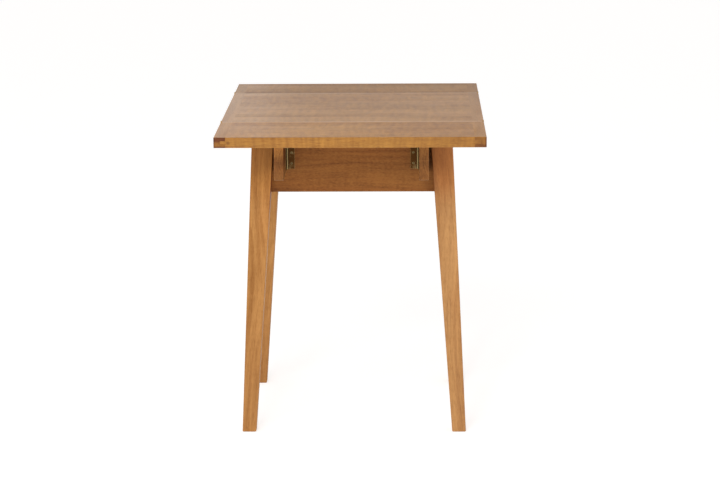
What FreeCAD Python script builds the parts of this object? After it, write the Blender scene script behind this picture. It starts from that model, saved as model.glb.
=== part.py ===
"""Extending side table, in millimetres, +Z up, origin on the floor below the centre of the top.

A fixed centre top stands on an apron frame with four tapered, splayed legs. A leaf is hinged to its
front edge and another to its rear edge. Each leaf lies on two brackets that swing out from the apron,
and folds over onto the centre top. X runs left to right, Y front to back.
"""
import FreeCAD, Part
import os

Vector = FreeCAD.Vector

# Driving dimensions -----------------------------------------------------------------------------------
HEIGHT = 728.0             # floor to top surface
TOP_WIDTH = 600.0          # along X
TOP_THICKNESS = 23.5
CENTRE_FRONT_Y = -183.0    # front and rear edges of the centre top
CENTRE_REAR_Y = 230.5
FRONT_LEAF_DEPTH = 200.0   # along Y
REAR_LEAF_DEPTH = 152.5
JOINT_GAP = 0.5            # between the centre top and a leaf
END_WIDTH = 26.0           # cross-grained batten at each end of a top section
TONGUE_LENGTH = 12.0       # of a board's tongue in its batten
TONGUE_THICKNESS = 8.0
GLUE_GAP = 0.1             # all round a tongue or tenon
TOP_ARRIS = 1.2            # rounding of the top's edges

LEG_TOP_OUTER_X = 228.0    # outer faces of the legs at their top end
LEG_TOP_OUTER_Y = 200.0
LEG_FOOT_OUTER_X = 261.0   # and at the floor
LEG_FOOT_OUTER_Y = 217.5
LEG_TOP_SIZE = 50.5
LEG_FOOT_SIZE = 32.0
LEG_ARRIS = 2.5
FOOT_CHAMFER = 1.5

APRON_HEIGHT = 142.0
APRON_THICKNESS = 20.0
APRON_RECESS = 30.0        # long aprons, behind the outer faces of the legs' top ends
SIDE_RECESS = 14.0         # short aprons, the same
APRON_ARRIS = 1.5
TENON_LENGTH = 24.0
TENON_THICKNESS = 8.0
TENON_HEIGHT = 52.0
TENON_SHOULDER = 10.0      # apron edge to tenon

BRACKET_THICKNESS = 21.5
BRACKET_LENGTH = 109.0
BRACKET_HEIGHT = 94.0
BRACKET_CORNER = 4.0       # rounding of its lower outer corner
BRACKET_INNER_X = 152.5    # from the middle of the table to its hinged face
BRACKET_ARRIS = 1.5
REST_GAP = 0.4             # between a leaf and the brackets or leg tops under it
BUTT_GAP = 0.5             # between a bracket's inner end and the apron

HINGE_HEIGHT = 50.0        # butt hinge of a bracket
HINGE_CENTRE_Z = 642.0
HINGE_LEAF_WIDTH = 16.5    # from the pin's axis
HINGE_PLATE = 1.6
KNUCKLE_RADIUS = 2.75
KNUCKLE_CLEARANCE = 0.3    # between a knuckle and what moves past it
KNUCKLE_COUNT = 5
PIN_RADIUS = 1.5
RUNNING_FIT = 0.05         # radial, round a pin
PIN_HEAD = 0.8
HINGE_SCREW_SPACING = 25.0
HINGE_SCREW_INSET = 6.5    # from a leaf's free edge

FOLD_RISE = 0.25           # fold axis above the top surface
EAR_RADIUS = 2.75          # of a leaf hinge plate, round the fold axis
EAR_THICKNESS = 1.1
EAR_SPLIT = 0.3            # between two ears on one pin
FOLD_PIN_RADIUS = 1.1
PLATE_LENGTH = 44.0
PLATE_HEIGHT = 13.0
PLATE_SET_DOWN = 3.0       # top surface to plate
PLATE_END_RADIUS = 3.0
PLATE_SCREWS = (16.0, 36.0)  # from the joint line

BLOCK_LEG = 46.0           # corner block, along each apron
BLOCK_HEIGHT = 60.0
BLOCK_BOTTOM_Z = 600.0
BLOCK_NOTCH = 8.0          # cut away in the corner of the aprons
BLOCK_SCREW_OUT = 27.0     # from the block's corner to its screws
BLOCK_SEAT = 10.0          # wood under a screw head

BUTTON_WIDTH = 30.0
BUTTON_LENGTH = 34.0
BUTTON_THICKNESS = 15.0
BUTTON_TONGUE = 7.0        # into the apron
BUTTON_TONGUE_HEIGHT = 7.0
BUTTON_SCREW_OUT = 18.0    # apron's inner face to screw
BUTTON_X = 90.0            # buttons on the long aprons, either side of the middle

# Screws: (shank radius, length under the surface, head radius, head depth)
HINGE_SCREW = (1.3, 15.0, 2.6, 1.3)
PLATE_SCREW = (1.25, 12.0, 2.5, 1.25)
BLOCK_SCREW = (1.9, 24.0, 3.8, 1.9)
BUTTON_SCREW = (1.9, 30.0, 3.8, 1.9)
SCREW_PLAY = 0.05          # round a screw's shank in its hole
SLOT_WIDTH = 0.6
SLOT_DEPTH = 0.6

# Derived places ---------------------------------------------------------------------------------------
UNDERSIDE = HEIGHT - TOP_THICKNESS
HALF_WIDTH = TOP_WIDTH / 2
CENTRE_DEPTH = CENTRE_REAR_Y - CENTRE_FRONT_Y
JOINT_Y = {-1: CENTRE_FRONT_Y, 1: CENTRE_REAR_Y}
FOLD_Y = {end: y + end * JOINT_GAP / 2 for end, y in JOINT_Y.items()}
LEAF_DEPTH = {-1: FRONT_LEAF_DEPTH, 1: REAR_LEAF_DEPTH}
FOLD_Z = HEIGHT + FOLD_RISE
APRON_BOTTOM = UNDERSIDE - APRON_HEIGHT
APRON_FACE_X = LEG_TOP_OUTER_X - SIDE_RECESS
APRON_FACE_Y = LEG_TOP_OUTER_Y - APRON_RECESS
HINGE_OFFSET = KNUCKLE_RADIUS + KNUCKLE_CLEARANCE
SWING_X = BRACKET_INNER_X - HINGE_OFFSET
SWING_Y = APRON_FACE_Y + HINGE_OFFSET
X_AXIS = Vector(1, 0, 0)
Y_AXIS = Vector(0, 1, 0)
Z_AXIS = Vector(0, 0, 1)
SIDES = {"left": -1, "right": 1}
ENDS = {"front": -1, "rear": 1}


# Small tools ------------------------------------------------------------------------------------------
def save(name, shape):
    """Write one node."""
    if shape.isNull() or not shape.isValid() or not shape.Solids:
        raise ValueError("bad solid: " + name)
    shape.exportStep("parts/" + name + ".step")


def box(low, high):
    """A block between two corners, given in any order."""
    corner = Vector(*[min(a, b) for a, b in zip(low, high)])
    return Part.makeBox(*[abs(a - b) for a, b in zip(low, high)], corner)


def rod(radius, length, start, along):
    return Part.makeCylinder(radius, length, Vector(*start), along)


def prism(points, sweep):
    """A flat outline swept along a vector."""
    corners = [Vector(*point) for point in points]
    return Part.Face(Part.makePolygon(corners + corners[:1])).extrude(sweep)


def ease(shape, radius, wanted):
    """Round the edges that the test accepts."""
    return shape.makeFillet(radius, [edge for edge in shape.Edges if wanted(edge)])


def runs_along(axis):
    """A test for straight edges along an axis."""
    def test(edge):
        start, end = edge.Vertexes[0].Point, edge.Vertexes[-1].Point
        return edge.Length > 0 and abs((end - start).dot(axis)) > 0.98 * edge.Length
    return test


def mirrored(shape, side, end):
    """A shape modelled at the right rear, moved to another corner of the table."""
    if side < 0:
        shape = shape.mirror(Vector(0, 0, 0), X_AXIS)
    if end < 0:
        shape = shape.mirror(Vector(0, 0, 0), Y_AXIS)
    return shape


def joined(shapes):
    """One solid from shapes that touch."""
    whole = shapes[0].fuse(shapes[1:]) if len(shapes) > 1 else shapes[0]
    return whole.removeSplitter()


# Screws -----------------------------------------------------------------------------------------------
def screw(kind, surface, inward):
    """A countersunk slotted screw, its head flush with the surface point."""
    shank, length, head, depth = kind
    start = Vector(*surface)
    cone = Part.makeCone(head, shank, depth, start, inward)
    point = 3 * shank
    body = Part.makeCylinder(shank, length - depth - point, start + inward * depth, inward)
    tip = Part.makeCone(shank, shank / 4, point, start + inward * (length - point), inward)
    across = Vector(inward.y, inward.z, inward.x)
    corner = start - across * (2 * head) - inward.cross(across) * (SLOT_WIDTH / 2) - inward * SLOT_DEPTH
    slot = prism([corner, corner + across * (4 * head),
                  corner + across * (4 * head) + inward * (2 * SLOT_DEPTH),
                  corner + inward * (2 * SLOT_DEPTH)], inward.cross(across) * SLOT_WIDTH)
    return joined([cone, body, tip]).cut(slot)


def screw_hole(kind, surface, inward):
    """The hole that a screw leaves: its own outline with a little play."""
    shank, length, head, depth = kind
    start = Vector(*surface)
    play = SCREW_PLAY
    cone = Part.makeCone(head + play, shank + play, depth, start, inward)
    bore = Part.makeCylinder(shank + play, length - depth + play, start + inward * depth, inward)
    return joined([cone, bore])


# The three top sections -------------------------------------------------------------------------------
def section_boards(depth, start_y):
    """The boards of a top section with a tongue at each end, from start_y backwards."""
    boards_x = HALF_WIDTH - END_WIDTH
    slab = box((-boards_x, start_y, UNDERSIDE), (boards_x, start_y + depth, HEIGHT))
    slab = ease(slab, TOP_ARRIS, runs_along(X_AXIS))
    middle = (UNDERSIDE + HEIGHT) / 2
    reach = boards_x + TONGUE_LENGTH
    tongue = box((-reach, start_y + TOP_ARRIS, middle - TONGUE_THICKNESS / 2),
                 (reach, start_y + depth - TOP_ARRIS, middle + TONGUE_THICKNESS / 2))
    return joined([slab, tongue])


def section_end(depth, start_y, side):
    """The cross-grained batten at one end of a top section, grooved for the tongue."""
    inner = HALF_WIDTH - END_WIDTH
    batten = box((side * inner, start_y, UNDERSIDE), (side * HALF_WIDTH, start_y + depth, HEIGHT))

    def outside(edge):
        middle = edge.CenterOfMass
        on_outer_face = abs(abs(middle.x) - HALF_WIDTH) < GLUE_GAP
        on_cross_edge = runs_along(X_AXIS)(edge)
        return on_outer_face or on_cross_edge

    batten = ease(batten, TOP_ARRIS, outside)
    middle = (UNDERSIDE + HEIGHT) / 2
    half = TONGUE_THICKNESS / 2 + GLUE_GAP
    groove = box((side * (inner - 1), start_y - 1, middle - half),
                 (side * (inner + TONGUE_LENGTH + GLUE_GAP), start_y + depth + 1, middle + half))
    return batten.cut(groove)


# Leaf hinges: a plate let into each batten, with ears on one pin ------------------------------------------
def plate_outline(direction, end):
    """A leaf hinge plate with rounded far corners, without its ear. direction -1 is the centre side."""
    top = HEIGHT - PLATE_SET_DOWN
    near = FOLD_Y[end] + direction * end * (JOINT_GAP / 2 + GLUE_GAP)
    far = FOLD_Y[end] + direction * end * PLATE_LENGTH
    thickness = 2 * EAR_THICKNESS + EAR_SPLIT
    plate = box((HALF_WIDTH - thickness, near, top - PLATE_HEIGHT), (HALF_WIDTH, far, top))

    def far_corner(edge):
        return runs_along(X_AXIS)(edge) and abs(edge.CenterOfMass.y - far) < GLUE_GAP
    return ease(plate, PLATE_END_RADIUS, far_corner)


def fold_plate(direction, end, side):
    """One plate of a leaf hinge with its ear; the centre's ear is the inner one of the two."""
    thickness = 2 * EAR_THICKNESS + EAR_SPLIT
    face = HALF_WIDTH - thickness
    inner_layer = (face, face + EAR_THICKNESS)
    outer_layer = (face + EAR_THICKNESS + EAR_SPLIT, HALF_WIDTH)
    own, other = (inner_layer, outer_layer) if direction < 0 else (outer_layer, inner_layer)
    axis_y = FOLD_Y[end]
    swing = EAR_RADIUS + KNUCKLE_CLEARANCE
    plate = plate_outline(direction, end)
    cut_from = other[0] - EAR_SPLIT if direction < 0 else other[0]
    room = rod(swing, EAR_THICKNESS + EAR_SPLIT, (cut_from, axis_y, FOLD_Z), X_AXIS)
    plate = plate.cut(room)
    ear = rod(EAR_RADIUS, EAR_THICKNESS, (own[0], axis_y, FOLD_Z), X_AXIS)
    toward = direction * end
    root = HEIGHT - PLATE_SET_DOWN - PLATE_HEIGHT / 2
    neck = prism([(own[0], axis_y, FOLD_Z),
                  (own[0], axis_y + toward * EAR_RADIUS, FOLD_Z - FOLD_RISE - GLUE_GAP),
                  (own[0], axis_y + toward * 4 * EAR_RADIUS, root + PLATE_HEIGHT / 2),
                  (own[0], axis_y + toward * 4 * EAR_RADIUS, root),
                  (own[0], axis_y + toward * (JOINT_GAP / 2 + GLUE_GAP), root)],
                 X_AXIS * EAR_THICKNESS)
    shape = joined([plate, ear, neck])
    bore = FOLD_PIN_RADIUS + (RUNNING_FIT if direction > 0 else 0)
    shape = shape.cut(rod(bore, 2 * thickness, (face - thickness / 2, axis_y, FOLD_Z), X_AXIS))
    for reach in PLATE_SCREWS:
        spot = (HALF_WIDTH, axis_y + toward * reach, root)
        shape = shape.cut(screw_hole(PLATE_SCREW, spot, -X_AXIS))
    return mirrored(shape, side, 1)


def fold_pin(end, side):
    """The pin through a leaf hinge's two ears, as long as the ears are thick."""
    thickness = 2 * EAR_THICKNESS + EAR_SPLIT
    pin = rod(FOLD_PIN_RADIUS, thickness, (HALF_WIDTH - thickness, FOLD_Y[end], FOLD_Z), X_AXIS)
    return mirrored(pin, side, 1)


def plate_screws(direction, end, side):
    """The screws of one leaf hinge plate."""
    root = HEIGHT - PLATE_SET_DOWN - PLATE_HEIGHT / 2
    places = [FOLD_Y[end] + direction * end * reach for reach in PLATE_SCREWS]
    return [mirrored(screw(PLATE_SCREW, (HALF_WIDTH, y, root), -X_AXIS), side, 1) for y in places]


def fold_recess(direction, end, side):
    """The wood removed for one leaf hinge plate, for both ears and for the screws."""
    thickness = 2 * EAR_THICKNESS + EAR_SPLIT
    axis_y = FOLD_Y[end]
    toward = direction * end
    top = HEIGHT - PLATE_SET_DOWN
    root = top - PLATE_HEIGHT / 2
    inside = HALF_WIDTH - thickness - GLUE_GAP
    outside = HALF_WIDTH + 1
    ear_side = HALF_WIDTH - thickness - KNUCKLE_CLEARANCE
    pocket = box((inside, axis_y, top - PLATE_HEIGHT - GLUE_GAP),
                 (outside, axis_y + toward * (PLATE_LENGTH + GLUE_GAP), top + GLUE_GAP))
    swing = rod(EAR_RADIUS + KNUCKLE_CLEARANCE, outside - ear_side, (ear_side, axis_y, FOLD_Z), X_AXIS)
    neck = prism([(inside, axis_y, HEIGHT + 1),
                  (inside, axis_y + toward * (EAR_RADIUS + GLUE_GAP), HEIGHT + 1),
                  (inside, axis_y + toward * (EAR_RADIUS + GLUE_GAP), HEIGHT),
                  (inside, axis_y + toward * (4 * EAR_RADIUS + GLUE_GAP), top + GLUE_GAP),
                  (inside, axis_y + toward * (4 * EAR_RADIUS + GLUE_GAP), root),
                  (inside, axis_y, root)], X_AXIS * (outside - inside))
    holes = [screw_hole(PLATE_SCREW, (HALF_WIDTH, axis_y + toward * reach, root), -X_AXIS)
             for reach in PLATE_SCREWS]
    return mirrored(joined([pocket, swing, neck] + holes), side, 1)


# Legs and aprons --------------------------------------------------------------------------------------
def leg_outline(height):
    """Outer X, outer Y and width of a leg at a height."""
    down = (UNDERSIDE - height) / UNDERSIDE
    outer_x = LEG_TOP_OUTER_X + down * (LEG_FOOT_OUTER_X - LEG_TOP_OUTER_X)
    outer_y = LEG_TOP_OUTER_Y + down * (LEG_FOOT_OUTER_Y - LEG_TOP_OUTER_Y)
    size = LEG_TOP_SIZE + down * (LEG_FOOT_SIZE - LEG_TOP_SIZE)
    return outer_x, outer_y, size


def leg_corners(height):
    """The leg's square outline at a height."""
    outer_x, outer_y, size = leg_outline(height)
    return [Vector(outer_x, outer_y, height), Vector(outer_x - size, outer_y, height),
            Vector(outer_x - size, outer_y - size, height), Vector(outer_x, outer_y - size, height)]


def tapered_post(top, foot):
    """A solid with flat faces between two four-cornered outlines."""
    rings = [top, foot]
    for i in range(4):
        j = (i + 1) % 4
        rings.append([top[i], top[j], foot[j], foot[i]])
    return Part.Solid(Part.Shell([Part.Face(Part.makePolygon(ring + ring[:1])) for ring in rings]))


def tenon_spans():
    """Heights of the two tenons in a leg: the long apron's is the upper one, the short's the lower."""
    upper = UNDERSIDE - TENON_SHOULDER
    lower = APRON_BOTTOM + TENON_SHOULDER
    return (upper - TENON_HEIGHT, upper), (lower, lower + TENON_HEIGHT)


def leg(side, end):
    """A tapered leg, splayed both ways, mortised for two aprons and lowered where a leaf covers it."""
    body = tapered_post(leg_corners(UNDERSIDE), leg_corners(0))
    body = ease(body, LEG_ARRIS, lambda edge: edge.Length > HEIGHT / 2)
    foot = [edge for edge in body.Edges if edge.BoundBox.ZMax < LEG_ARRIS]
    body = body.makeChamfer(FOOT_CHAMFER, foot)
    long_span, short_span = tenon_spans()
    middle_y = APRON_FACE_Y - APRON_THICKNESS / 2
    middle_x = APRON_FACE_X - APRON_THICKNESS / 2
    half = TENON_THICKNESS / 2 + GLUE_GAP
    end_x = leg_outline(long_span[1])[0] - LEG_TOP_SIZE + TENON_LENGTH + GLUE_GAP
    end_y = leg_outline(short_span[1])[1] - LEG_TOP_SIZE + TENON_LENGTH + GLUE_GAP
    body = body.cut(box((LEG_TOP_OUTER_X - 2 * LEG_TOP_SIZE, middle_y - half, long_span[0] - GLUE_GAP),
                        (end_x, middle_y + half, long_span[1] + GLUE_GAP)))
    body = body.cut(box((middle_x - half, LEG_TOP_OUTER_Y - 2 * LEG_TOP_SIZE, short_span[0] - GLUE_GAP),
                        (middle_x + half, end_y, short_span[1] + GLUE_GAP)))
    joint_reach = abs(JOINT_Y[end])
    if joint_reach < LEG_TOP_OUTER_Y:
        body = body.cut(box((LEG_TOP_OUTER_X - 2 * LEG_TOP_SIZE, joint_reach, UNDERSIDE - REST_GAP),
                            (LEG_TOP_OUTER_X + LEG_TOP_SIZE, LEG_TOP_OUTER_Y + LEG_TOP_SIZE, HEIGHT)))
    return mirrored(body, side, end)


def inner_edges():
    """Distances from the middle to the legs' inner faces, at the apron's top and bottom."""
    reaches = []
    for height in (UNDERSIDE, APRON_BOTTOM):
        outer_x, outer_y, size = leg_outline(height)
        reaches.append((outer_x - size, outer_y - size))
    return reaches


def long_apron():
    """The rear apron, along X; its ends follow the splay of the legs."""
    (top_x, _), (bottom_x, _) = inner_edges()
    back = APRON_FACE_Y - APRON_THICKNESS
    board = prism([(-top_x, back, UNDERSIDE), (top_x, back, UNDERSIDE),
                   (bottom_x, back, APRON_BOTTOM), (-bottom_x, back, APRON_BOTTOM)],
                  Y_AXIS * APRON_THICKNESS)
    board = ease(board, APRON_ARRIS, lambda edge: edge.BoundBox.ZMax < APRON_BOTTOM + 1
                 and runs_along(X_AXIS)(edge))
    low, high = tenon_spans()[0]
    reach = leg_outline(high)[0] - LEG_TOP_SIZE + TENON_LENGTH
    middle = APRON_FACE_Y - APRON_THICKNESS / 2
    tenon = box((-reach, middle - TENON_THICKNESS / 2, low), (reach, middle + TENON_THICKNESS / 2, high))
    return joined([board, tenon])


def short_apron():
    """The right-hand apron, along Y."""
    (_, top_y), (_, bottom_y) = inner_edges()
    back = APRON_FACE_X - APRON_THICKNESS
    board = prism([(back, -top_y, UNDERSIDE), (back, top_y, UNDERSIDE),
                   (back, bottom_y, APRON_BOTTOM), (back, -bottom_y, APRON_BOTTOM)],
                  X_AXIS * APRON_THICKNESS)
    board = ease(board, APRON_ARRIS, lambda edge: edge.BoundBox.ZMax < APRON_BOTTOM + 1
                 and runs_along(Y_AXIS)(edge))
    low, high = tenon_spans()[1]
    reach = leg_outline(high)[1] - LEG_TOP_SIZE + TENON_LENGTH
    middle = APRON_FACE_X - APRON_THICKNESS / 2
    tenon = box((middle - TENON_THICKNESS / 2, -reach, low), (middle + TENON_THICKNESS / 2, reach, high))
    return joined([board, tenon])


# Corner blocks and tabletop buttons -------------------------------------------------------------------
def block_screw_places():
    """Surface points and directions of the two screws of the right rear corner block."""
    corner_x = APRON_FACE_X - APRON_THICKNESS
    corner_y = APRON_FACE_Y - APRON_THICKNESS
    third = BLOCK_HEIGHT / 3
    along_y = (corner_x - BLOCK_SCREW_OUT, corner_y - BLOCK_SEAT, BLOCK_BOTTOM_Z + third)
    along_x = (corner_x - BLOCK_SEAT, corner_y - BLOCK_SCREW_OUT, BLOCK_BOTTOM_Z + 2 * third)
    return [(along_y, Y_AXIS), (along_x, X_AXIS)]


def corner_block(side, end):
    """A triangular block glued and screwed in a corner of the apron frame."""
    x = APRON_FACE_X - APRON_THICKNESS
    y = APRON_FACE_Y - APRON_THICKNESS
    z = BLOCK_BOTTOM_Z
    block = prism([(x - BLOCK_NOTCH, y, z), (x - BLOCK_LEG, y, z), (x, y - BLOCK_LEG, z),
                   (x, y - BLOCK_NOTCH, z)], Z_AXIS * BLOCK_HEIGHT)
    head = BLOCK_SCREW[2]
    for surface, inward in block_screw_places():
        access = Part.makeCylinder(head + SCREW_PLAY, BLOCK_LEG, Vector(*surface), -inward)
        block = block.cut(joined([access, screw_hole(BLOCK_SCREW, surface, inward)]))
    return mirrored(block, side, end)


def button_places():
    """Where the buttons meet the aprons' inner faces, each with its direction into the apron."""
    face_x = APRON_FACE_X - APRON_THICKNESS
    face_y = APRON_FACE_Y - APRON_THICKNESS
    places = []
    for end in ENDS.values():
        for side in SIDES.values():
            places.append(((side * BUTTON_X, end * face_y), Vector(0, end, 0)))
    for side in SIDES.values():
        places.append(((side * face_x, 0), Vector(side, 0, 0)))
    return places


def button_block(place, into, gap):
    """The block and tongue of one button, larger by a gap where it is used as a cutter."""
    middle = Vector(place[0], place[1], 0)
    across = Vector(into.y, into.x, 0)
    low = UNDERSIDE - BUTTON_THICKNESS
    half = BUTTON_WIDTH / 2 + gap

    def slab(near, far, bottom, top):
        start = middle + into * near - across * half
        finish = middle + into * far + across * half
        return box((start.x, start.y, bottom), (finish.x, finish.y, top))

    tongue = slab(-1, BUTTON_TONGUE + gap, low - gap, low + BUTTON_TONGUE_HEIGHT + gap)
    body = slab(-BUTTON_LENGTH, 0, low, UNDERSIDE)
    return tongue if gap else joined([body, tongue])


def button_screw_place(place, into):
    """Surface point of a button's screw, on the button's underside."""
    middle = Vector(place[0], place[1], UNDERSIDE - BUTTON_THICKNESS) - into * BUTTON_SCREW_OUT
    return (middle.x, middle.y, middle.z)


def tabletop_button(place, into):
    hole = screw_hole(BUTTON_SCREW, button_screw_place(place, into), Z_AXIS)
    return button_block(place, into, 0).cut(hole)


# Brackets and their butt hinges, modelled at the right rear -----------------------------------------------
def bracket():
    """A bracket pointing away from the apron."""
    inner = APRON_FACE_Y + BUTT_GAP
    outer = APRON_FACE_Y + BRACKET_LENGTH
    top = UNDERSIDE - REST_GAP
    bottom = top - BRACKET_HEIGHT
    x = BRACKET_INNER_X
    body = box((x, inner, bottom), (x + BRACKET_THICKNESS, outer, top))
    body = ease(body, BRACKET_CORNER, lambda edge: runs_along(X_AXIS)(edge)
                and edge.CenterOfMass.y > outer - 1 and edge.CenterOfMass.z < bottom + 1)
    body = ease(body, BRACKET_ARRIS, lambda edge: not runs_along(X_AXIS)(edge)
                and edge.CenterOfMass.y > inner + 1)
    for place in bracket_screw_places():
        body = body.cut(screw_hole(HINGE_SCREW, place, X_AXIS))
    return body


def hinge_screw_heights():
    return [HINGE_CENTRE_Z - HINGE_SCREW_SPACING / 2, HINGE_CENTRE_Z + HINGE_SCREW_SPACING / 2]


def bracket_screw_places():
    """Screws that hold a hinge leaf to the bracket; their heads are flush with the leaf."""
    x = BRACKET_INNER_X - HINGE_PLATE
    y = SWING_Y + HINGE_LEAF_WIDTH - HINGE_SCREW_INSET
    return [(x, y, z) for z in hinge_screw_heights()]


def apron_screw_places():
    """Screws that hold a hinge leaf to the apron."""
    x = SWING_X - HINGE_LEAF_WIDTH + HINGE_SCREW_INSET
    y = APRON_FACE_Y + HINGE_PLATE
    return [(x, y, z) for z in hinge_screw_heights()]


def knuckle_spans(odd):
    """Heights of every second knuckle of a butt hinge; the odd ones are shorter by the clearance."""
    pitch = HINGE_HEIGHT / KNUCKLE_COUNT
    bottom = HINGE_CENTRE_Z - HINGE_HEIGHT / 2
    trim = KNUCKLE_CLEARANCE if odd else 0
    first = 1 if odd else 0
    return [(bottom + i * pitch + trim, bottom + (i + 1) * pitch - trim)
            for i in range(first, KNUCKLE_COUNT, 2)]


def hinge_leaf(plate, odd, screws, inward, bore):
    """A hinge leaf: a plate cut back round the other leaf's knuckles, with its own knuckles."""
    clearance = KNUCKLE_CLEARANCE
    for low, high in knuckle_spans(not odd):
        plate = plate.cut(rod(KNUCKLE_RADIUS + clearance, high - low + 2 * clearance,
                              (SWING_X, SWING_Y, low - clearance), Z_AXIS))
    knuckles = [rod(KNUCKLE_RADIUS, high - low, (SWING_X, SWING_Y, low), Z_AXIS)
                for low, high in knuckle_spans(odd)]
    leaf = joined([plate] + knuckles)
    leaf = leaf.cut(rod(bore, 2 * HINGE_HEIGHT, (SWING_X, SWING_Y, HINGE_CENTRE_Z - HINGE_HEIGHT), Z_AXIS))
    for place in screws:
        leaf = leaf.cut(screw_hole(HINGE_SCREW, place, inward))
    return leaf


def hinge_apron_leaf():
    """The leaf on the apron, running inwards from the pin."""
    low = HINGE_CENTRE_Z - HINGE_HEIGHT / 2
    plate = box((SWING_X - HINGE_LEAF_WIDTH, APRON_FACE_Y, low),
                (SWING_X, APRON_FACE_Y + HINGE_PLATE, low + HINGE_HEIGHT))
    return hinge_leaf(plate, False, apron_screw_places(), -Y_AXIS, PIN_RADIUS)


def hinge_bracket_leaf():
    """The leaf on the bracket, running outwards from the pin."""
    low = HINGE_CENTRE_Z - HINGE_HEIGHT / 2
    plate = box((BRACKET_INNER_X - HINGE_PLATE, SWING_Y, low),
                (BRACKET_INNER_X, SWING_Y + HINGE_LEAF_WIDTH, low + HINGE_HEIGHT))
    return hinge_leaf(plate, True, bracket_screw_places(), X_AXIS, PIN_RADIUS + RUNNING_FIT)


def hinge_pin():
    """A hinge pin with a low button at each end."""
    low = HINGE_CENTRE_Z - HINGE_HEIGHT / 2
    pieces = [rod(PIN_RADIUS, HINGE_HEIGHT, (SWING_X, SWING_Y, low), Z_AXIS)]
    for z, outwards in ((low, -Z_AXIS), (low + HINGE_HEIGHT, Z_AXIS)):
        foot = Vector(SWING_X, SWING_Y, z)
        pieces.append(Part.makeCone(KNUCKLE_RADIUS, PIN_RADIUS, PIN_HEAD, foot, outwards))
    return joined(pieces)


# The whole table --------------------------------------------------------------------------------------
def save_centre_top():
    boards = section_boards(CENTRE_DEPTH, CENTRE_FRONT_Y)
    for place, into in button_places():
        boards = boards.cut(screw_hole(BUTTON_SCREW, button_screw_place(place, into), Z_AXIS))
    save("centre_panel", boards)
    for side_name, side in SIDES.items():
        batten = section_end(CENTRE_DEPTH, CENTRE_FRONT_Y, side)
        for end in ENDS.values():
            batten = batten.cut(fold_recess(-1, end, side))
        save("centre_end_" + side_name, batten)


def save_leaf(end_name, end):
    depth = LEAF_DEPTH[end]
    start = JOINT_Y[end] + end * JOINT_GAP - (depth if end < 0 else 0)
    save(end_name + "_leaf_panel", section_boards(depth, start))
    screws = []
    for side_name, side in SIDES.items():
        batten = section_end(depth, start, side).cut(fold_recess(1, end, side))
        save(end_name + "_leaf_end_" + side_name, batten)
        corner = end_name + "_" + side_name
        save("leaf_hinge_leaf_plate_" + corner, fold_plate(1, end, side))
        save("leaf_hinge_centre_plate_" + corner, fold_plate(-1, end, side))
        screws += plate_screws(1, end, side)
    save(end_name + "_leaf_screws", Part.makeCompound(screws))


def save_leaf_hinge_fixings():
    corners = [(end, side) for end in ENDS.values() for side in SIDES.values()]
    save("leaf_hinge_pins", Part.makeCompound([fold_pin(end, side) for end, side in corners]))
    screws = []
    for end, side in corners:
        screws += plate_screws(-1, end, side)
    save("leaf_hinge_centre_screws", Part.makeCompound(screws))


def save_aprons():
    rear = long_apron()
    right = short_apron()
    for place, into in button_places():
        if into.y > 0:
            rear = rear.cut(button_block(place, into, GLUE_GAP))
        if into.x > 0:
            right = right.cut(button_block(place, into, GLUE_GAP))
    for surface, inward in block_screw_places():
        for side in SIDES.values():
            hole = screw_hole(BLOCK_SCREW, surface, inward)
            if inward.y:
                rear = rear.cut(mirrored(hole, side, 1))
            else:
                right = right.cut(mirrored(hole, 1, side))
    for place in apron_screw_places():
        for side in SIDES.values():
            rear = rear.cut(mirrored(screw_hole(HINGE_SCREW, place, -Y_AXIS), side, 1))
    save("apron_rear", rear)
    save("apron_front", mirrored(rear, 1, -1))
    save("apron_right", right)
    save("apron_left", mirrored(right, -1, 1))


def save_corners():
    """Everything that is repeated at the four corners of the frame."""
    pins = []
    apron_screws = []
    block_screws = []
    for end_name, end in ENDS.items():
        for side_name, side in SIDES.items():
            corner = end_name + "_" + side_name
            save("leg_" + corner, leg(side, end))
            save("corner_block_" + corner, corner_block(side, end))
            save("bracket_" + corner, mirrored(bracket(), side, end))
            save("bracket_hinge_apron_leaf_" + corner, mirrored(hinge_apron_leaf(), side, end))
            save("bracket_hinge_bracket_leaf_" + corner, mirrored(hinge_bracket_leaf(), side, end))
            held = [screw(HINGE_SCREW, place, X_AXIS) for place in bracket_screw_places()]
            save("bracket_screws_" + corner, mirrored(Part.makeCompound(held), side, end))
            pins.append(mirrored(hinge_pin(), side, end))
            apron_screws += [mirrored(screw(HINGE_SCREW, place, -Y_AXIS), side, end)
                             for place in apron_screw_places()]
            block_screws += [mirrored(screw(BLOCK_SCREW, surface, inward), side, end)
                             for surface, inward in block_screw_places()]
    save("bracket_hinge_pins", Part.makeCompound(pins))
    save("bracket_hinge_apron_screws", Part.makeCompound(apron_screws))
    save("corner_block_screws", Part.makeCompound(block_screws))


def save_buttons():
    buttons = [tabletop_button(place, into) for place, into in button_places()]
    screws = [screw(BUTTON_SCREW, button_screw_place(place, into), Z_AXIS)
              for place, into in button_places()]
    save("tabletop_buttons", Part.makeCompound(buttons))
    save("tabletop_button_screws", Part.makeCompound(screws))


os.makedirs("parts", exist_ok=True)
save_centre_top()
for name, direction in ENDS.items():
    save_leaf(name, direction)
save_leaf_hinge_fixings()
save_aprons()
save_corners()
save_buttons()
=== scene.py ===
"""Looks, light and camera for the side table with two hinged leaves.

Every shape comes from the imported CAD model. This script gives each node its material, which is
built from procedural nodes in the row frame: X to the right, Y to the rear and Z up, in metres.
"""

import math

import bpy
from mathutils import Matrix, Vector


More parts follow.
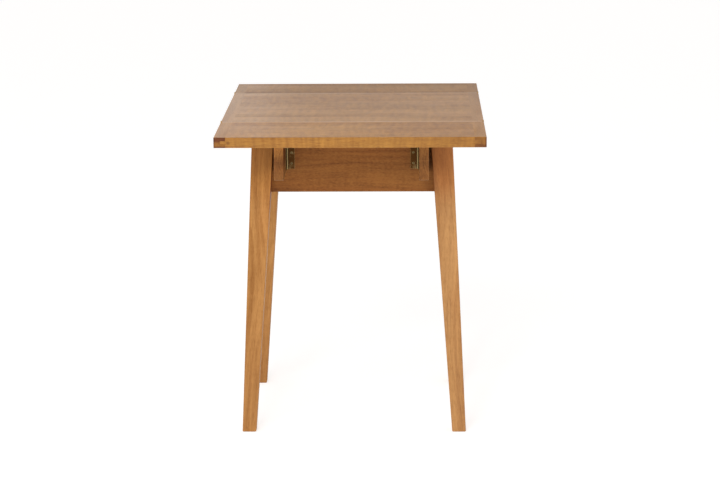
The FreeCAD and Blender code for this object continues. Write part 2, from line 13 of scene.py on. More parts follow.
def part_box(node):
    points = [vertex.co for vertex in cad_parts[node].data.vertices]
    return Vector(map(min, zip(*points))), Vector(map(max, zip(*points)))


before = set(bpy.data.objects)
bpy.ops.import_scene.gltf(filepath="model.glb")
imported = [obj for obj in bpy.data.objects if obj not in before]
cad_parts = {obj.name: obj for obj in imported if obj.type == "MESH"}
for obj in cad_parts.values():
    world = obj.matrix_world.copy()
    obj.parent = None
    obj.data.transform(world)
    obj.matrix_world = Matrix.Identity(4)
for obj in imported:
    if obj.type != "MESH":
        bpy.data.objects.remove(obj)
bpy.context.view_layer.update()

# Linear colours of the oiled wood, from its pale early wood to its dark late wood.
TOP_PALE = (0.490, 0.228, 0.036)
TOP_DARK = (0.215, 0.077, 0.0100)
LEG_PALE = (0.525, 0.260, 0.079)
LEG_DARK = (0.280, 0.113, 0.024)
APRON_PALE = (0.330, 0.128, 0.024)
APRON_DARK = (0.160, 0.050, 0.007)
BRACKET_PALE = (0.275, 0.128, 0.034)
BRACKET_DARK = (0.125, 0.048, 0.010)
RAW_PALE = (0.600, 0.430, 0.255)
RAW_DARK = (0.470, 0.300, 0.155)
# Pale wear along the joint lines of the top, with a painted highlight.
WORN_AND_LIT_WOOD = (0.950, 0.860, 0.780)

# What a patch multiplies the wood's colour by: dirt, wear, a change of tone, or painted shade and light.
# Real stains, and painted shade where faces lie in recesses or under the top.
STAIN_AND_SHADE = (0.42, 0.22, 0.11)
# Painted highlights on the ends of the brackets.
PAINTED_HIGHLIGHT = (1.30, 1.32, 1.40)
EDGE_TINT = (0.92, 0.95, 1.05)
# Painted light on the upper half of a bracket's end.
PAINTED_LIGHT_TOP = (2.05, 2.30, 2.50)
# Painted shade in the corners of the front apron, beside the legs.
APRON_CORNER_SHADE = {"left": (0.27, 0.14, 0.06), "right": (0.48, 0.22, 0.10)}
WARM = (1.04, 0.95, 0.86)
FLECK = (0.8, 0.72, 0.64)
PORE = (0.5, 0.42, 0.36)
END_GRAIN = (1.06, 0.95, 0.84)
KNOT = (0.42, 0.34, 0.28)
# Wear and painted highlights on rounded edges.
WORN_LIT_EDGE = (1.28, 1.28, 1.32)

# Linear colours of the brass, where it is rubbed and where it is tarnished; the darkest one is also
# the painted shade on the hinge knuckles.
BRASS_BRIGHT = (0.620, 0.470, 0.210)
BRASS_DULL = (0.105, 0.045, 0.012)
# Dark tarnish for the screws, and painted shade on the hinge knuckles.
BRASS_DARK_AND_SHADE = (0.030, 0.016, 0.008)
BRASS_SATIN = (0.420, 0.235, 0.075)
BRASS_SPECK = (0.5, 0.46, 0.4)

# How far in from an edge its rounding, its wear and, on the wood, its painted highlight reach.
WOOD_EDGE = 0.0016
BRASS_EDGE = 0.0009
BEVEL_SAMPLES = 6

# The axes along the grain, across it and through it, for each direction of the grain.
GRAIN_ORDER = {"X": (0, 1, 2), "Y": (1, 0, 2), "Z": (2, 0, 1)}

# The wood's layers of noise: cycles per metre along the grain and across it, and the detail.
LAYERS = {
    "drift": (2.2, 7.0, 1.0),
    "wobble": (9.0, 45.0, 2.0),
    "growth": (0.6, 4.0, 1.0),
    "late_wood": (1.6, 14.0, 2.0),
    "band": (1.3, 30.0, 2.0),
    "streak": (3.0, 110.0, 3.0),
    "fibre": (16.0, 900.0, 2.0),
    "cloud": (2.0, 11.0, 3.0),
    "shimmer": (95.0, 16.0, 2.0),
    "spots": (150.0, 300.0, 2.0),
    "fleck": (60.0, 380.0, 1.0),
    "pore": (55.0, 1500.0, 1.0),
    "warm": (3.2, 18.0, 2.0),
    "rub": (9.0, 60.0, 2.0),
    "worn_lit_edge": (30.0, 60.0, 2.0),
}
FIBRE_SHARE = 0.5
BOARD_SHARE = 0.14
BASE_SHADE = 0.28

# How dark one growth ring is, from its inner side to its outer side.
RING_PROFILE = ((0.0, 0.2), (0.25, 0.12), (0.55, 0.4), (0.84, 1.0), (1.0, 0.2))

# What sets one piece's pattern apart from another's: a shift along the grain and, where the piece
# is glued up from boards, a draw that slides each board along its grain and lifts it.
SEED_SHIFT = 1.37
SEED_DRAW = 3.7
FIRST_BOARD = 10.0
BOARD_START = 0.013
BOARD_SLIDE = 3.0
BOARD_LIFT = 0.05

# A face is end grain once it faces along the grain this much.
END_FACING = (0.55, 0.85)

# The painted shade on a bracket hinge's knuckles fades out between these distances from its middle,
# and on its crest this much of the bright brass shows through, as a painted highlight.
KNUCKLE_SIDE = (0.0028, 0.0034)
KNUCKLE_CREST = 0.7


class Nodes:
    """Short calls for the shader nodes of one material."""

    def __init__(self, name):
        self.material = bpy.data.materials.new(name)
        self.material.use_nodes = True
        self.tree = self.material.node_tree
        self.tree.nodes.clear()
        self.place = self.tree.nodes.new("ShaderNodeTexCoord")

    def put(self, socket, value):
        if isinstance(value, bpy.types.NodeSocket):
            self.tree.links.new(value, socket)
        else:
            socket.default_value = value

    def node(self, kind, *values, **settings):
        made = self.tree.nodes.new(kind)
        for key, value in settings.items():
            setattr(made, key, value)
        for socket, value in zip(made.inputs, values):
            self.put(socket, value)
        return made

    def math(self, operation, *values, clamp=False):
        return self.node("ShaderNodeMath", *values, operation=operation, use_clamp=clamp).outputs[0]

    def vector(self, operation, *values):
        made = self.node("ShaderNodeVectorMath", *values, operation=operation)
        scalar = operation in ("LENGTH", "DISTANCE", "DOT_PRODUCT")
        return made.outputs["Value" if scalar else "Vector"]

    def scaled(self, vector, amount):
        made = self.node("ShaderNodeVectorMath", vector, operation="SCALE")
        self.put(made.inputs["Scale"], amount)
        return made.outputs["Vector"]

    def split(self, vector):
        return self.node("ShaderNodeSeparateXYZ", vector).outputs

    def noise(self, vector, scale=1.0, detail=2.0, roughness=0.5):
        made = self.node("ShaderNodeTexNoise")
        self.put(made.inputs["Vector"], vector)
        self.put(made.inputs["Scale"], scale)
        self.put(made.inputs["Detail"], detail)
        self.put(made.inputs["Roughness"], roughness)
        return made

    def draw(self, number):
        """A random draw that stays the same for the same number."""
        made = self.node("ShaderNodeTexWhiteNoise", noise_dimensions="1D")
        self.put(made.inputs["W"], number)
        return made.outputs

    def span(self, value, low, high, out_low=0.0, out_high=1.0):
        """The value moved smoothly from one range to another."""
        made = self.node("ShaderNodeMapRange", interpolation_type="SMOOTHSTEP")
        for key, given in zip(
            ("Value", "From Min", "From Max", "To Min", "To Max"),
            (value, low, high, out_low, out_high),
        ):
            self.put(made.inputs[key], given)
        return made.outputs["Result"]

    def mix(self, factor, first, second, blend="MIX"):
        made = self.node("ShaderNodeMix", data_type="RGBA", blend_type=blend)
        self.put(made.inputs[0], factor)
        self.put(made.inputs[6], first)
        self.put(made.inputs[7], second)
        return made.outputs[2]

    def shaded(self, tint, factor, level):
        """The tint, multiplied by the level as far as the factor says."""
        return self.mix(factor, tint, self.mix(1.0, tint, colour(level), "MULTIPLY"))

    def ramp(self, value, stops):
        made = self.node("ShaderNodeValToRGB", value)
        made.color_ramp.interpolation = "B_SPLINE"
        elements = made.color_ramp.elements
        while len(elements) < len(stops):
            elements.new(0.5)
        for element, (position, level) in zip(elements, stops):
            element.position = position
            element.color = (level, level, level, 1.0)
        return made.outputs[0]

    def flatness(self, radius):
        """1 on a flat face, and less where an edge lies within the radius."""
        rounded = self.node("ShaderNodeBevel", samples=BEVEL_SAMPLES)
        rounded.inputs["Radius"].default_value = radius
        geometry = self.node("ShaderNodeNewGeometry")
        return self.vector("DOT_PRODUCT", rounded.outputs["Normal"], geometry.outputs["Normal"])

    def finish(self, tint, roughness, height, metal=0.0, specular=0.5, bump=0.3, depth=0.0004):
        lump = self.node("ShaderNodeBump")
        lump.inputs["Strength"].default_value = bump
        lump.inputs["Distance"].default_value = depth
        self.put(lump.inputs["Height"], height)
        shader = self.node("ShaderNodeBsdfPrincipled")
        shader.inputs["Metallic"].default_value = metal
        shader.inputs["Specular IOR Level"].default_value = specular
        self.put(shader.inputs["Base Color"], tint)
        self.put(shader.inputs["Roughness"], roughness)
        self.put(shader.inputs["Normal"], lump.outputs["Normal"])
        output = self.node("ShaderNodeOutputMaterial")
        self.tree.links.new(shader.outputs["BSDF"], output.inputs["Surface"])
        return self.material


def colour(rgb):
    return (*rgb, 1.0)


def signed(n, factor):
    """A noise factor moved to lie about zero."""
    return n.math("SUBTRACT", factor, 0.5)


def grain_point(n, grain, lean, stave, seed):
    """The place along, across and through the grain, and the tone drawn for each glued board."""
    axes = n.split(n.place.outputs["Object"])
    along, across, through = (axes[i] for i in GRAIN_ORDER[grain])
    across = n.math("MULTIPLY_ADD", along, lean[0], across)
    through = n.math("MULTIPLY_ADD", along, lean[1], through)
    board_tone = None
    if stave:
        from_start = n.math("ADD", across, FIRST_BOARD * stave + BOARD_START)
        index = n.math("FLOOR", n.math("DIVIDE", from_start, stave))
        drawn = n.draw(n.math("ADD", index, seed * SEED_DRAW))
        parts = n.node("ShaderNodeSeparateColor", drawn["Color"]).outputs
        along = n.math("MULTIPLY_ADD", parts[0], BOARD_SLIDE, along)
        through = n.math("MULTIPLY_ADD", parts[1], BOARD_LIFT, through)
        board_tone = signed(n, parts[2])
    along = n.math("ADD", along, seed * SEED_SHIFT)
    return n.node("ShaderNodeCombineXYZ", along, across, through).outputs[0], board_tone


def growth_rings(n, noise, bent, pith, spacing):
    """Rings round the pith, each drawn with its own depth and fading in and out along the grain."""
    section = n.vector("MULTIPLY", n.vector("SUBTRACT", bent, (0.0, *pith)), (0.0, 1.0, 1.0))
    turns = n.math("DIVIDE", n.vector("LENGTH", section), spacing)
    phase = n.math("ADD", turns, n.math("MULTIPLY", noise("growth")["Fac"], 3.0))
    ring = n.ramp(n.math("FRACT", phase), RING_PROFILE)
    drawn = n.draw(n.math("FLOOR", phase))
    ring = n.math("MULTIPLY", ring, n.math("MULTIPLY_ADD", drawn["Value"], 0.7, 0.3))
    return n.math("MULTIPLY", ring, n.span(noise("late_wood")["Fac"], 0.38, 0.62, 0.25, 1.2))


def with_knot(n, tint, spot, size, depth):
    """The tint with a small swirling knot of this size at the spot."""
    place = n.place.outputs["Object"]
    ragged = signed(n, n.noise(place, 260.0).outputs["Fac"])
    away = n.math("MULTIPLY_ADD", ragged, size * 0.7, n.vector("DISTANCE", place, spot))
    swirl = n.math("SINE", n.math("MULTIPLY", away, 2.6 * math.tau / size))
    cover = n.span(away, size * 0.55, size * 1.15, 1.0, 0.0)
    depth = n.math("MULTIPLY_ADD", swirl, 0.22, depth)
    return n.shaded(tint, n.math("MULTIPLY", cover, depth, clamp=True), KNOT)


def with_mark(n, tint, near, far, strength, level):
    """The tint with a soft rounded patch that fills the box between two corners."""
    middle = [(a + b) / 2 for a, b in zip(near, far)]
    reach = [max((b - a) / 2, 1e-4) for a, b in zip(near, far)]
    inside = n.vector("DIVIDE", n.vector("SUBTRACT", n.place.outputs["Object"], middle), reach)
    cover = n.span(n.vector("LENGTH", inside), 0.45, 1.1, 1.0, 0.0)
    return n.shaded(tint, n.math("MULTIPLY", cover, strength), level)


def with_painted_shade(n, tint, way, fade_low, fade_high, strength):
    """The tint with painted shade on the faces that look this way; the shade sets in from one height to
    the other.
    """
    turned = n.vector("DOT_PRODUCT", n.place.outputs["Normal"], way)
    turned = n.span(turned, 0.5, 0.9, 0.0, strength)
    height = n.split(n.place.outputs["Object"])[2]
    return n.shaded(tint, n.math("MULTIPLY", turned, n.span(height, fade_low, fade_high)), STAIN_AND_SHADE)


def with_joint_wear_and_highlight(n, noise, tint, joints):
    """The tint, rubbed pale on the upper side along the joint lines: wear together with a painted
    highlight.
    """
    along_y = n.split(n.place.outputs["Object"])[1]
    upward = n.split(n.place.outputs["Normal"])[2]
    off_joint = n.math("MINIMUM", *(n.math("ABSOLUTE", n.math("SUBTRACT", along_y, y)) for y in joints))
    rub = n.span(noise("rub")["Fac"], 0.3, 0.6, 0.12, 0.21)
    rub = n.math("MULTIPLY", rub, n.span(off_joint, 0.002, 0.008, 1.0, 0.0))
    rub = n.math("MULTIPLY", rub, n.span(upward, 0.5, 0.8))
    return n.mix(rub, tint, colour(WORN_AND_LIT_WOOD))


def wood(
    name,
    grain,
    pale,
    dark,
    seed,
    pith=(0.0, -0.07),
    spacing=0.0045,
    contrast=0.3,
    warp=0.016,
    lean=(0.0, 0.0),
    stave=0.0,
    roughness=0.42,
    end_tint=0.62,
    tone=1.0,
    specular=0.4,
    ripple=0.25,
    mottle=0.3,
    blotch=0.9,
    streaks=1.0,
    bands=0.6,
    flecks=0.5,
    shades=(),
    joint_wear_and_highlight=(),
    knots=(),
    marks=(),
):
    """Solid wood whose rings, fibres and pores run through the piece along its grain.

    The pith is the heart of the tree, as a place across and through the grain. The spacing is the
    width of a growth ring, the warp is how far the rings wander, the lean is the slope of the grain
    and the stave is the width of each board that the piece is glued up from. The ripple, mottle,
    blotch, streaks, bands and flecks say how strong each kind of figure is.
    """
    n = Nodes(name)
    point, board_tone = grain_point(n, grain, lean, stave, seed)

    def noise(layer, start=point, **settings):
        length, width, detail = LAYERS[layer]
        stretched = n.vector("MULTIPLY", start, (length, width, width))
        return n.noise(stretched, detail=detail, **settings).outputs

    drift = n.vector("SUBTRACT", noise("drift")["Color"], (0.5,) * 3)
    wobble = n.vector("SUBTRACT", noise("wobble")["Color"], (0.5,) * 3)
    bent = n.vector("ADD", point, n.scaled(drift, warp * 2.0))
    bent = n.vector("ADD", bent, n.scaled(wobble, warp * 0.25))
    ring = growth_rings(n, noise, bent, pith, spacing)

    band = signed(n, noise("band", start=bent)["Fac"])
    streak = signed(n, noise("streak", start=bent, roughness=0.6)["Fac"])
    fibre = signed(n, noise("fibre")["Fac"])
    cloud = signed(n, noise("cloud")["Fac"])
    shimmer = signed(n, noise("shimmer", start=bent)["Fac"])
    spots = signed(n, noise("spots")["Fac"])
    pore = n.span(noise("pore")["Fac"], 0.6, 0.7)

    facing = n.split(n.place.outputs["Normal"])["XYZ".index(grain)]
    end = n.span(n.math("ABSOLUTE", facing), *END_FACING)

    parts = [
        (band, bands),
        (streak, streaks),
        (fibre, FIBRE_SHARE),
        (cloud, blotch),
        (shimmer, ripple),
        (spots, mottle),
    ]
    if board_tone:
        parts.append((board_tone, BOARD_SHARE))
    value = n.math("MULTIPLY", ring, n.math("MULTIPLY_ADD", end, 0.45, contrast))
    for part, share in parts:
        value = n.math("MULTIPLY_ADD", part, share, value)
    value = n.math("ADD", value, BASE_SHADE, clamp=True)
    tint = n.mix(value, colour(c * tone for c in pale), colour(c * tone for c in dark))

    tint = n.shaded(tint, n.span(noise("warm")["Fac"], 0.4, 0.7, 0.0, 0.5), WARM)
    tint = n.shaded(tint, n.span(noise("fleck")["Fac"], 0.58, 0.7, 0.0, flecks), FLECK)
    tint = n.shaded(tint, n.math("MULTIPLY", pore, 0.45), PORE)
    tint = n.shaded(tint, end, [end_tint * c for c in END_GRAIN])
    for knot in knots:
        tint = with_knot(n, tint, *knot)
    for patch in marks:
        tint = with_mark(n, tint, *patch)
    # Painted shade on the faces that look one way.
    for shade in shades:
        tint = with_painted_shade(n, tint, *shade)
    # Pale wear and a painted highlight along the joint lines.
    if joint_wear_and_highlight:
        tint = with_joint_wear_and_highlight(n, noise, tint, joint_wear_and_highlight)
    # Paler edges: wear together with a painted highlight where rounded edges catch the light.
    worn_lit = n.span(n.flatness(WOOD_EDGE), 0.995, 0.9, 0.0, 0.5)
    worn_lit = n.math("MULTIPLY", worn_lit, n.span(noise("worn_lit_edge")["Fac"], 0.35, 0.6, 0.35, 1.0))
    tint = n.shaded(tint, worn_lit, WORN_LIT_EDGE)

    dull = n.math("MULTIPLY_ADD", ring, 0.07, roughness)
    for part, share in ((pore, 0.12), (cloud, 0.12), (end, 0.14)):
        dull = n.math("MULTIPLY_ADD", part, share, dull)
    height = n.math("MULTIPLY", fibre, 0.35)
    for part, share in ((pore, -0.8), (ring, 0.3)):
        height = n.math("MULTIPLY_ADD", part, share, height)
    return n.finish(tint, dull, height, specular=specular)


def brass(name, seed, shine=0.3, dull=BRASS_DULL, knuckles=()):
    """Aged brass: bright where hands and tools rub it, with painted shade on its knuckles and a painted
    highlight on their crests.
    """
    n = Nodes(name)
    place = n.vector("ADD", n.place.outputs["Object"], (seed * 0.31, seed * 0.17, 0.0))
    stain = n.noise(place, 70.0, detail=4.0, roughness=0.62).outputs["Fac"]
    speck = n.noise(place, 900.0, detail=2.0).outputs["Fac"]
    scratch = n.noise(n.vector("MULTIPLY", place, (60.0, 60.0, 2200.0)), detail=1.0).outputs["Fac"]
    rubbed_edge = n.span(n.flatness(BRASS_EDGE), 0.995, 0.88, 0.0, 0.6)
    bright = n.math("ADD", n.span(stain, 0.5, 0.75, 0.0, shine), rubbed_edge)
    base = colour(dull)
    # Painted shade on the knuckles, with a painted highlight on their crests.
    if knuckles:
        mirrored = n.vector("ABSOLUTE", n.place.outputs["Object"])
        mirrored = n.vector("MULTIPLY", mirrored, (1.0, 1.0, 0.0))
        knuckle = n.span(n.vector("DISTANCE", mirrored, (*knuckles, 0.0)), *KNUCKLE_SIDE, 1.0, 0.0)
        facing_y = n.split(n.place.outputs["Normal"])[1]
        crest = n.span(n.math("ABSOLUTE", facing_y), 0.86, 0.97)
        bright = n.math("MULTIPLY", bright, n.math("SUBTRACT", 1.0, knuckle))
        bright = n.math("MULTIPLY_ADD", n.math("MULTIPLY", knuckle, crest), KNUCKLE_CREST, bright)
        base = n.mix(knuckle, base, colour(BRASS_DARK_AND_SHADE))
    bright = n.math("MINIMUM", bright, 1.0)
    tint = n.mix(bright, base, colour(BRASS_BRIGHT))
    tint = n.shaded(tint, n.span(speck, 0.56, 0.7, 0.0, 0.5), BRASS_SPECK)
    rough = n.math("MULTIPLY_ADD", bright, -0.18, 0.5)
    rough = n.math("MULTIPLY_ADD", signed(n, speck), 0.2, rough)
    height = n.math("ADD", n.math("MULTIPLY", scratch, 0.25), n.math("MULTIPLY", speck, 0.3))
    return n.finish(tint, rough, height, metal=1.0, bump=0.25, depth=0.0001)


def give(node, material):
    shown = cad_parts[node]
    shown.data.materials.clear()
    shown.data.materials.append(material)
    for face in shown.data.polygons:
        face.material_index = 0


def paler(rgb, amount):
    """The same wood with less colour in it."""
    return tuple(c + amount * (0.5 - c) for c in rgb)


def around(middle, reach):
    return (middle - reach, middle + reach)


def mark(x, y, z, strength, level=STAIN_AND_SHADE):
    """A mark for wood(), from the pairs of limits that it lies between."""
    return (x[0], y[0], z[0]), (x[1], y[1], z[1]), strength, level


SIDES = {"left": -1, "right": 1}
ENDS = {"front": -1, "rear": 1}

# A mark on a face reaches this far to both sides of the face.
SKIN = 0.004
END_GRAIN_SKIN = 0.003

# The three sections of the top. "tone" is their brightness, partly the boards' own and partly painted
# light, brighter at the front and darker at the rear. "mirror" is how much of the light their finish
# mirrors, "heart" is the place along Y of the heart of the tree below them, and "width" is the width
# of their boards.
TOPS = {
    "front_leaf": {"tone": 1.09, "mirror": 0.33, "heart": -0.263, "width": 0.0905, "seed": 1.0},
    "centre": {"tone": 0.99, "mirror": 0.7, "heart": 0.03, "width": 0.101, "seed": 11.0},
    "rear_leaf": {"tone": 0.81, "mirror": 0.22, "heart": 0.323, "width": 0.0905, "seed": 3.0},
}
TOP_ROUGHNESS = 0.34
HEART_DEPTH = 0.075
BATTEN_TONE = 0.97
BATTEN_HEART_X = 0.287
BATTEN_HEART_DEPTH = 0.11
KNOT_SIZE = 0.0045
KNOT_DEPTH = 0.55

# The legs: how much greyer they are, the painted shade below the top, how much darker they are
# near the floor, and the painted shade at the top of the face that looks inward.
LEGS = {
    "left": {"tone": 1.06, "greyed": 0.0, "top": (0.93, 0.85, 0.66), "foot": 0.2, "inner": 0.95},
    "right": {"tone": 1.0, "greyed": 0.04, "top": (0.94, 0.75, 0.58), "foot": 0.0, "inner": 0.75},
}
LEG_AROUND = 0.2
LEG_HEART = (0.35, 0.10)
LEG_GRAIN_SLOPE = (0.06, 0.038)

# How much painted light lifts the upper half of a bracket's end, and how far below its top lies a painted
# highlight line.
BRACKET_TOP_LIGHT = {"left": 1.0, "right": 0.4}
BRACKET_LINE = 0.049

DULL_ROUGHNESS = 0.5
DULL_MIRROR = 0.2
RAW_ROUGHNESS = 0.7
APRON_CORNER_X = 0.203


def end_grain_marks(low, high, side):
    """The stained end grain in the front face of a batten of the front leaf."""
    face = around(low.y, END_GRAIN_SKIN)
    upright = (low.z - 0.03, high.z + 0.03)
    if side == "left":
        width = (low.x - 0.02, high.x + 0.02)
        return (
            mark(width, face, (high.z - 0.0125, high.z + 0.003), 0.9),
            mark(width, face, (low.z - 0.004, low.z + 0.0045), 0.7),
            mark(around(low.x, 0.003), face, upright, 0.7),
        )
    return (
        mark((low.x - 0.01, high.x + 0.01), face, (low.z - 0.006, low.z + 0.01), 0.6),
        mark((high.x - 0.004, high.x + 0.003), face, upright, 0.7),
    )


def leg_marks(low, high, look):
    """The painted shade on a leg below the top, and a darker patch near its foot."""
    x = (low.x - LEG_AROUND, high.x + LEG_AROUND)
    y = (low.y - LEG_AROUND, high.y + LEG_AROUND)
    marks = [mark(x, y, (high.z - 0.17, high.z + 0.1), 1.0, look["top"])]
    if look["foot"]:
        marks.append(mark(x, y, (-0.3, 0.33), look["foot"]))
    return marks


def apron_marks(low, high):
    """The painted shade along the lower edge and in the corners of the front apron."""
    marks = [mark((low.x - 0.2, high.x + 0.2), around(low.y, 0.02), (low.z - 0.012, low.z + 0.014), 0.25)]
    for side, hand in SIDES.items():
        x = around(hand * APRON_CORNER_X, 0.014)
        z = (low.z + 0.01, high.z + 0.06)
        marks.append(mark(x, around(low.y, 0.01), z, 0.95, APRON_CORNER_SHADE[side]))
    return marks


def bracket_marks(low, high, side, end):
    """Painted highlights on the outer corner and on a line below the upper half, and painted light on
    that upper half, of a bracket's end.
    """
    outer = low.x if side == "left" else high.x
    tip = around(low.y if end == "front" else high.y, SKIN)
    width = (low.x - 0.02, high.x + 0.02)
    line = high.z - BRACKET_LINE
    return (
        mark(around(outer, 0.003), tip, (low.z - 0.06, high.z + 0.06), 1.0, PAINTED_HIGHLIGHT),
        mark(width, tip, (line, high.z + 0.04), BRACKET_TOP_LIGHT[side], PAINTED_LIGHT_TOP),
        mark(width, tip, around(line, 0.0015), 0.6, PAINTED_HIGHLIGHT),
    )


low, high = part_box("centre_panel")
top_z = high.z
joints_y = (low.y, high.y)
front_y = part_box("front_leaf_panel")[0].y
front_face = around(front_y, SKIN)
face_height = (top_z - 0.06, top_z + 0.04)
# Painted shade over the left end of the front leaf and its battens.
left_end = mark((-0.40, -0.12), (front_y + 0.005, low.y), around(top_z, 0.1), 0.22)
TOP_MARKS = {
    "centre": (mark((-0.279, -0.271), (low.y - 0.003, low.y + 0.009), around(top_z, 0.003), 0.6),),
    "front_leaf": (
        # Painted shade over the right half of the front leaf.
        mark((0.02, 0.42), (front_y - 0.05, low.y + 0.05), around(top_z, 0.1), 0.2),
        left_end,
        mark((-0.42, 0.42), front_face, face_height, 1.0, EDGE_TINT),
        # Painted shade over the right of the front face.
        mark((0.05, 0.42), front_face, face_height, 0.14),
    ),
}
KNOTS = {"front_leaf": (((-0.268, front_y, top_z - 0.0125), KNOT_SIZE, KNOT_DEPTH),)}

for board, look in TOPS.items():
    give(
        f"{board}_panel",
        wood(
            f"wood_{board}_panel",
            "X",
            TOP_PALE,
            TOP_DARK,
            look["seed"],
            pith=(look["heart"], top_z - HEART_DEPTH),
            stave=look["width"],
            tone=look["tone"],
            specular=look["mirror"],
            roughness=TOP_ROUGHNESS,
            contrast=0.16,
            bands=0.3,
            streaks=0.55,
            blotch=1.1,
            ripple=1.0,
            flecks=0.8,
            joint_wear_and_highlight=joints_y,
            knots=KNOTS.get(board, ()),
            marks=TOP_MARKS.get(board, ()),
        ),
    )

# Every later piece takes the next seed.
seed = 4.0
for board, look in TOPS.items():
    for side, hand in SIDES.items():
        low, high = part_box(f"{board}_end_{side}")
        batten_marks = ()
        if board == "front_leaf":
            batten_marks = (*end_grain_marks(low, high, side), left_end)
        give(
            f"{board}_end_{side}",
            wood(
                f"wood_{board}_end_{side}",
                "Y",
                TOP_PALE,
                TOP_DARK,
                seed,
                pith=(hand * BATTEN_HEART_X, top_z - BATTEN_HEART_DEPTH),
                spacing=0.007,
                contrast=0.15,
                tone=look["tone"] * BATTEN_TONE,
                specular=look["mirror"],
                roughness=TOP_ROUGHNESS,
                end_tint=0.6,
                joint_wear_and_highlight=joints_y,
                marks=batten_marks,
            ),
        )
        seed += 1.0

for end, way in ENDS.items():
    for side, hand in SIDES.items():
        low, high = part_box(f"leg_{end}_{side}")
        look = LEGS[side]
        give(
            f"leg_{end}_{side}",
            wood(
                f"wood_leg_{end}_{side}",
                "Z",
                paler(LEG_PALE, look["greyed"]),
                paler(LEG_DARK, look["greyed"]),
                seed,
                pith=(hand * LEG_HEART[0], way * LEG_HEART[1]),
                spacing=0.008,
                contrast=0.3,
                warp=0.04,
                lean=(hand * LEG_GRAIN_SLOPE[0], way * LEG_GRAIN_SLOPE[1]),
                tone=look["tone"],
                specular=DULL_MIRROR,
                roughness=DULL_ROUGHNESS,
                streaks=1.5,
                marks=leg_marks(low, high, look),
                # Painted shade at the top of the face that looks inward.
                shades=(((-hand, 0.0, 0.0), high.z - 0.21, high.z - 0.13, look["inner"]),),
            ),
        )
        seed += 1.0

for apron, grain in (("front", "X"), ("rear", "X"), ("left", "Y"), ("right", "Y")):
    low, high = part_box(f"apron_{apron}")
    middle = (low + high) / 2
    across = middle.y if grain == "X" else middle.x
    give(
        f"apron_{apron}",
        wood(
            f"wood_apron_{apron}",
            grain,
            APRON_PALE,
            APRON_DARK,
            seed,
            pith=(across + 0.09, middle.z - 0.02),
            contrast=0.35,
            specular=DULL_MIRROR,
            roughness=DULL_ROUGHNESS,
            ripple=0.6,
            mottle=1.4,
            streaks=1.7,
            marks=apron_marks(low, high) if apron == "front" else (),
        ),
    )
    seed += 1.0

for end in ENDS:
    for side in SIDES:
        low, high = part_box(f"bracket_{end}_{side}")
        middle = (low + high) / 2
        # Painted shade on both side faces of the bracket, setting in just above its bottom.
        fade_low, fade_high = low.z - 0.005, low.z + 0.06
        give(
            f"bracket_{end}_{side}",
            wood(
                f"wood_bracket_{end}_{side}",
                "Y",
                BRACKET_PALE,
                BRACKET_DARK,
                seed,
                pith=(middle.x + 0.05, middle.z),
                spacing=0.003,
                specular=DULL_MIRROR,
                end_tint=0.97,
                mottle=0.9,
                marks=bracket_marks(low, high, side, end),
                shades=[((hand, 0.0, 0.0), fade_low, fade_high, 0.75) for hand in SIDES.values()],
            ),
        )
        low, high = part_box(f"corner_block_{end}_{side}")
        give(
            f"corner_block_{end}_{side}",
            wood(
                f"wood_block_{end}_{side}",
                "Z",
                RAW_PALE,
                RAW_DARK,
                seed + 0.5,
                pith=(low.x, low.y),
                spacing=0.003,
                roughness=RAW_ROUGHNESS,
            ),
        )
        seed += 1.0

buttons = wood("wood_buttons", "X", RAW_PALE, RAW_DARK, seed, spacing=0.003, roughness=RAW_ROUGHNESS)
give("tabletop_buttons", buttons)

# The middle of the painted shade on the knuckles lies this far in from the outer sides of the box
# round the four pins, which is a little outside the middle of each pin.
KNUCKLE_INSET = 0.0015
pins_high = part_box("bracket_hinge_pins")[1]
knuckles = (pins_high.x - KNUCKLE_INSET, pins_high.y - KNUCKLE_INSET)
hinge_brass = brass("brass_bracket_hinge", 1.0, knuckles=knuckles)
leaf_brass = brass("brass_leaf_hinge", 3.0, dull=BRASS_SATIN)
screw_brass = brass("brass_screw", 2.0, shine=0.1, dull=BRASS_DARK_AND_SHADE)
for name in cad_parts:
    if "screws" in name:
        give(name, screw_brass)
    elif "bracket_hinge" in name:
        give(name, hinge_brass)
    elif "hinge" in name:
        give(name, leaf_brass)

# The camera stands in front of the table, a little to its right, at eye height. Its angles are in
# radians, and the lens and the sensor in millimetres.
CAMERA_PLACE = (0.1314, -5.2370, 1.5990)
CAMERA_LENS = 112.4
CAMERA_SENSOR = 36.0
CAMERA_FAR = 200.0
CAMERA_DOWN = 0.2232
CAMERA_TURN = -0.0228
CAMERA_ROLL = 0.0071


def aim_camera():
    ahead = Vector(
        (
            math.sin(CAMERA_TURN) * math.cos(CAMERA_DOWN),
            math.cos(CAMERA_TURN) * math.cos(CAMERA_DOWN),
            -math.sin(CAMERA_DOWN),
        )
    )
    right = Vector((math.cos(CAMERA_TURN), -math.sin(CAMERA_TURN), 0.0))
    down = ahead.cross(right)
    tilted_right = right * math.cos(CAMERA_ROLL) + down * math.sin(CAMERA_ROLL)
    tilted_down = down * math.cos(CAMERA_ROLL) - right * math.sin(CAMERA_ROLL)
    turn = Matrix((tilted_right, -tilted_down, -ahead)).transposed()
    data = bpy.data.cameras.new("camera")
    data.lens = CAMERA_LENS
    data.sensor_width = CAMERA_SENSOR
    data.clip_end = CAMERA_FAR
    camera = bpy.data.objects.new("camera", data)
    camera.matrix_world = Matrix.Translation(CAMERA_PLACE) @ turn.to_4x4()
    bpy.context.scene.collection.objects.link(camera)
    bpy.context.scene.camera = camera


# A pale floor that reaches out of sight, with a little light of its own so that it shows white.
FLOOR_REACH = 60.0
FLOOR_LOOK = {
    "Base Color": (0.62, 0.62, 0.62, 1.0),
    "Roughness": 0.9,
    "Specular IOR Level": 0.1,
    "Emission Color": (1.0, 1.0, 1.0, 1.0),
    "Emission Strength": 0.62,
}


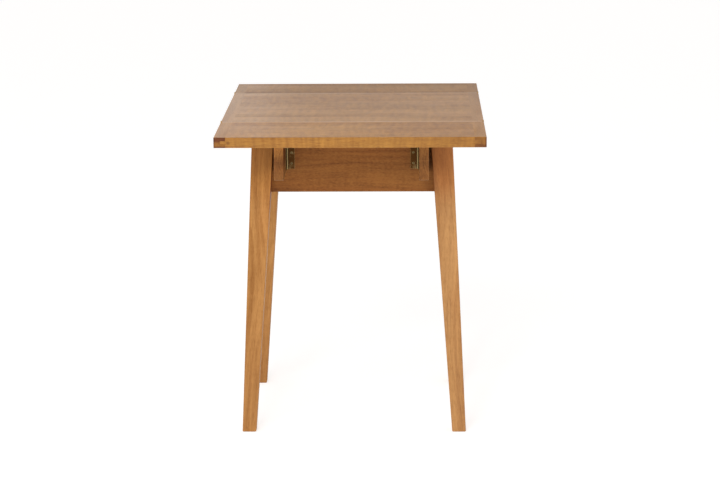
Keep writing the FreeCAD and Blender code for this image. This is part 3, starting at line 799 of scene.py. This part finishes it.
def lay_floor():
    reach = FLOOR_REACH
    corners = [(-reach, -reach, 0.0), (reach, -reach, 0.0), (reach, reach, 0.0), (-reach, reach, 0.0)]
    mesh = bpy.data.meshes.new("floor")
    mesh.from_pydata(corners, [], [(0, 1, 2, 3)])
    floor = bpy.data.objects.new("floor", mesh)
    bpy.context.scene.collection.objects.link(floor)
    n = Nodes("pale_floor")
    shader = n.node("ShaderNodeBsdfPrincipled")
    for key, value in FLOOR_LOOK.items():
        shader.inputs[key].default_value = value
    output = n.node("ShaderNodeOutputMaterial")
    n.tree.links.new(shader.outputs["BSDF"], output.inputs["Surface"])
    mesh.materials.append(n.material)


# The studio's soft white light: its colour, its strength near the horizon and overhead, and the
# heights between which it changes, where 0 is the horizon and 1 is straight up.
STUDIO_COLOUR = (0.81, 0.783, 0.765)
HORIZON_LIGHT = 0.95
ZENITH_LIGHT = 0.7
HORIZON_ENDS = 0.15
ZENITH_STARTS = 0.6


def light_studio():
    world = bpy.data.worlds.new("studio")
    bpy.context.scene.world = world
    world.use_nodes = True
    links = world.node_tree.links
    nodes = world.node_tree.nodes
    nodes.clear()
    direction = nodes.new("ShaderNodeTexCoord")
    height = nodes.new("ShaderNodeSeparateXYZ")
    links.new(direction.outputs["Generated"], height.inputs[0])
    level = nodes.new("ShaderNodeMapRange")
    level.interpolation_type = "SMOOTHSTEP"
    level.inputs["From Min"].default_value = HORIZON_ENDS
    level.inputs["From Max"].default_value = ZENITH_STARTS
    level.inputs["To Min"].default_value = HORIZON_LIGHT
    level.inputs["To Max"].default_value = ZENITH_LIGHT
    links.new(height.outputs["Z"], level.inputs["Value"])
    background = nodes.new("ShaderNodeBackground")
    background.inputs["Color"].default_value = colour(STUDIO_COLOUR)
    links.new(level.outputs["Result"], background.inputs["Strength"])
    out = nodes.new("ShaderNodeOutputWorld")
    links.new(background.outputs[0], out.inputs["Surface"])


def area_light(name, place, target, size, power):
    data = bpy.data.lights.new(name, "AREA")
    data.shape = "RECTANGLE"
    data.size, data.size_y = size
    data.energy = power
    lamp = bpy.data.objects.new(name, data)
    lamp.location = place
    lamp.visible_camera = False
    lamp.rotation_mode = "QUATERNION"
    lamp.rotation_quaternion = (Vector(target) - Vector(place)).to_track_quat("-Z", "Y")
    bpy.context.scene.collection.objects.link(lamp)


aim_camera()
lay_floor()
light_studio()
area_light("key", (-0.9, -3.0, 2.7), (0.0, 0.0, 0.5), (2.4, 1.8), 50.0)
area_light("lamp", (-0.6, -3.3, 2.45), (0.0, 0.0, 0.5), (0.35, 0.35), 14.0)
area_light("sheen", (-1.2, 2.4, 1.2), (-0.3, 0.0, 0.73), (1.8, 1.0), 2.7)

bpy.context.scene.view_settings.view_transform = "Standard"
